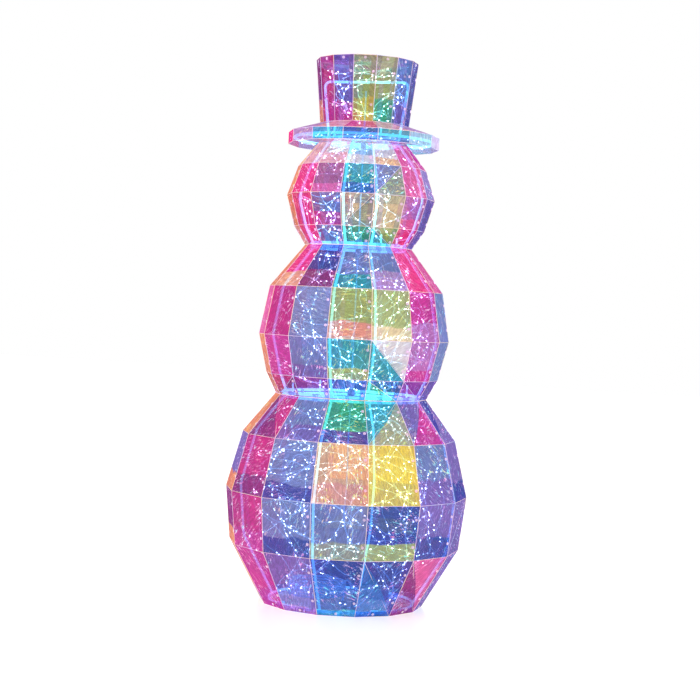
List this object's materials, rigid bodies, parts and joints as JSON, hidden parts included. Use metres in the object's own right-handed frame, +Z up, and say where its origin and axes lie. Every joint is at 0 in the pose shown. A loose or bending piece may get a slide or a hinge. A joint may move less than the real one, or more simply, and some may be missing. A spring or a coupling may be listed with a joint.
{
  "type": "yard snowman light",
  "caption": "Free-standing lit snowman: stacked faceted balls and a top hat of clear iridescent film riveted over wire frames with strings of micro lights.",
  "frame": {"origin": "centre of the base on the floor", "axes": "+Z up, -Y to the front; one seam of every ball faces the front"},
  "size_m": [0.5226, 0.536, 1.2],
  "materials": {
    "iridescent_film": "clear dichroic film, gloss",
    "clear_rivet": "clear moulded plastic",
    "clear_clip": "clear moulded plastic",
    "frame_paint": "pale gloss paint on steel wire",
    "silver_wire": "bright tinned wire",
    "light_resin": "clear resin drop over a cool white light",
    "clear_cable": "translucent cable jacket",
    "connector": "pale moulded plastic",
    "tie": "pale nylon",
    "controller_case": "pale moulded plastic, fine grain",
    "circuit_board": "solder mask",
    "button": "matt rubber",
    "screw_steel": "zinc plated"
  },
  "bodies": {
    "lower_section": {"base_hem": "iridescent_film", "cable_tie": "tie", "controller_board": "circuit_board", "controller_cover": "controller_case", "controller_screws": "screw_steel", "controller_tray": "controller_case", "ground_stake_eyes": "frame_paint", "lower_bottom_ring": "frame_paint", "lower_film_clips": "clear_clip", "lower_film_gores": "iridescent_film", "lower_lead": "clear_cable", "lower_light_wire": "silver_wire", "lower_lights": "light_resin", "lower_ribs": "frame_paint", "lower_rivets": "clear_rivet", "lower_top_ring": "frame_paint", "supply_cable": "clear_cable", "supply_plug": "connector", "waist_plug": "connector", "waist_prongs": "frame_paint"},
    "hat_section": {"brim_edge_film": "iridescent_film", "brim_ring": "frame_paint", "brim_spokes": "frame_paint", "brim_top_film": "iridescent_film", "brim_underside_film": "iridescent_film", "crown_film_gores": "iridescent_film", "crown_lid": "iridescent_film", "crown_rivets": "clear_rivet", "hat_hoop": "frame_paint", "hat_lead": "clear_cable", "hat_light_wire": "silver_wire", "hat_lights": "light_resin", "hat_seat_ring": "frame_paint", "hat_socket": "connector"},
    "mode_button": {"controller_button": "button"},
    "head_section": {"hat_plug": "connector", "hat_prongs": "frame_paint", "head_bottom_ring": "frame_paint", "head_film_clips": "clear_clip", "head_film_gores": "iridescent_film", "head_lead": "clear_cable", "head_light_wire": "silver_wire", "head_lights": "light_resin", "head_ribs": "frame_paint", "head_rivets": "clear_rivet", "head_top_ring": "frame_paint", "neck_socket": "connector"},
    "middle_section": {"middle_bottom_ring": "frame_paint", "middle_film_clips": "clear_clip", "middle_film_gores": "iridescent_film", "middle_lead": "clear_cable", "middle_light_wire": "silver_wire", "middle_lights": "light_resin", "middle_ribs": "frame_paint", "middle_rivets": "clear_rivet", "middle_top_ring": "frame_paint", "neck_plug": "connector", "neck_prongs": "frame_paint", "waist_socket": "connector"}
  },
  "joints": [
    {"name": "middle_lift", "type": "slide", "parent": "lower_section", "child": "middle_section", "axis": [0, 0, 1], "range_m": [0, 0.12]},
    {"name": "head_lift", "type": "slide", "parent": "middle_section", "child": "head_section", "axis": [0, 0, 1], "range_m": [0, 0.12]},
    {"name": "hat_lift", "type": "slide", "parent": "head_section", "child": "hat_section", "axis": [0, 0, 1], "range_m": [0, 0.12]},
    {"name": "mode_button_press", "type": "slide", "parent": "lower_section", "child": "mode_button", "axis": [0, 0, -1], "range_m": [0, 0.0012], "stiffness_N_per_m": 400}
  ]
}
